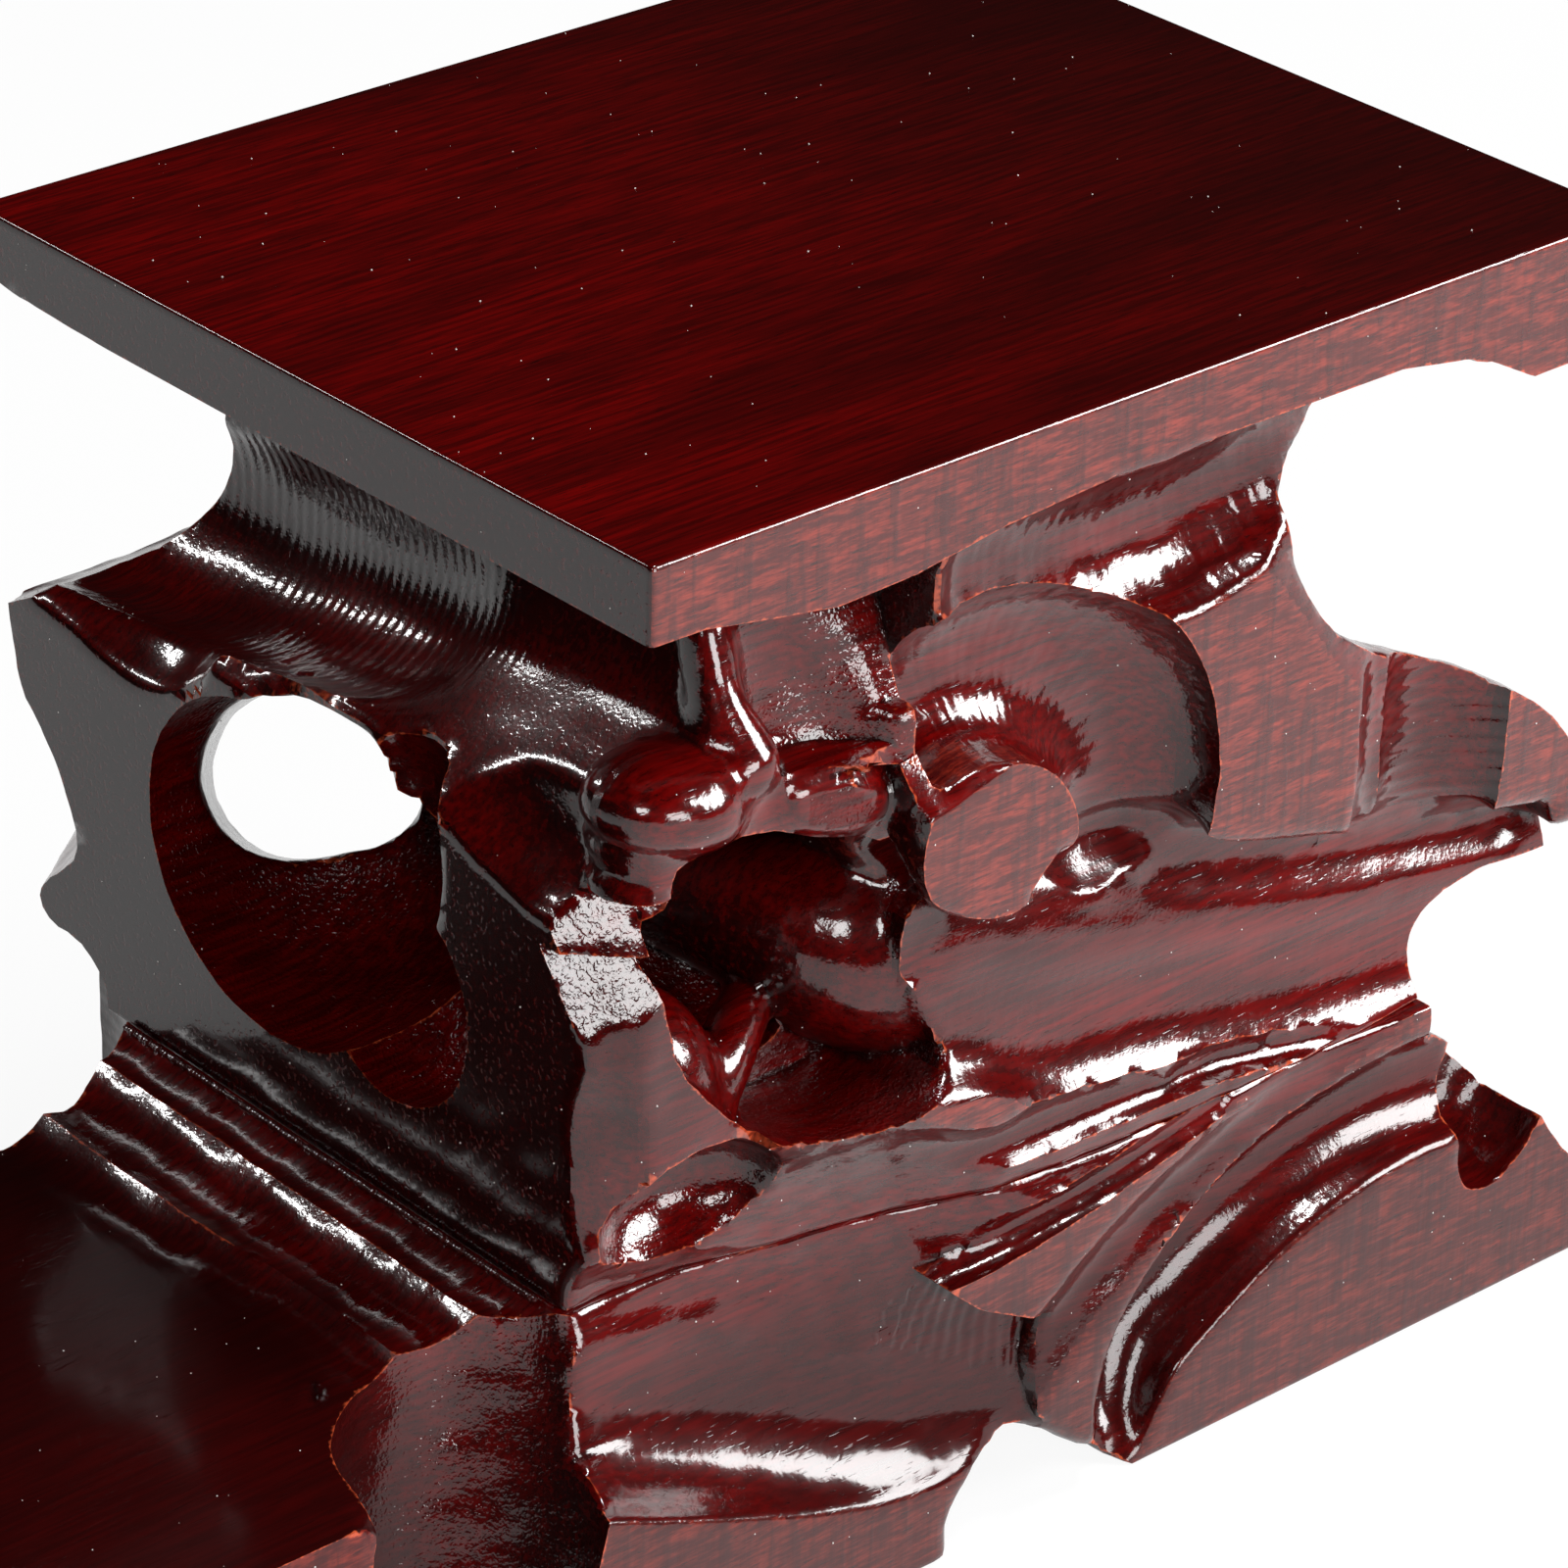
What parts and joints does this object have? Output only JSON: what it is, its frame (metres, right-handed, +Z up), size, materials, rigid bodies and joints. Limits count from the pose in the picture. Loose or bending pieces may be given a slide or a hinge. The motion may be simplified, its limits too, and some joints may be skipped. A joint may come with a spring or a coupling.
{
  "type": "root-carved display stand",
  "caption": "Two-tier display stand carved like a gnarled root, with a flat high platform, a flat low platform and arched feet, in dark red lacquered hardwood.",
  "frame": {"origin": "middle of the footprint, on the surface that the feet stand on", "axes": "+X along the grain, from the low platform to the high one; +Y to the back; +Z up"},
  "size_m": [0.16, 0.065, 0.0775],
  "materials": {
    "lacquered_wood": "thick clear gloss lacquer over red-stained hardwood",
    "bare_wood": "bare birch dowel",
    "glue": "glossy dried glue and lacquer"
  },
  "bodies": {
    "root": {"upper_block": "lacquered_wood", "base_block": "lacquered_wood", "front_dowel": "bare_wood", "back_dowel": "bare_wood", "glue_bead": "glue"}
  },
  "joints": []
}
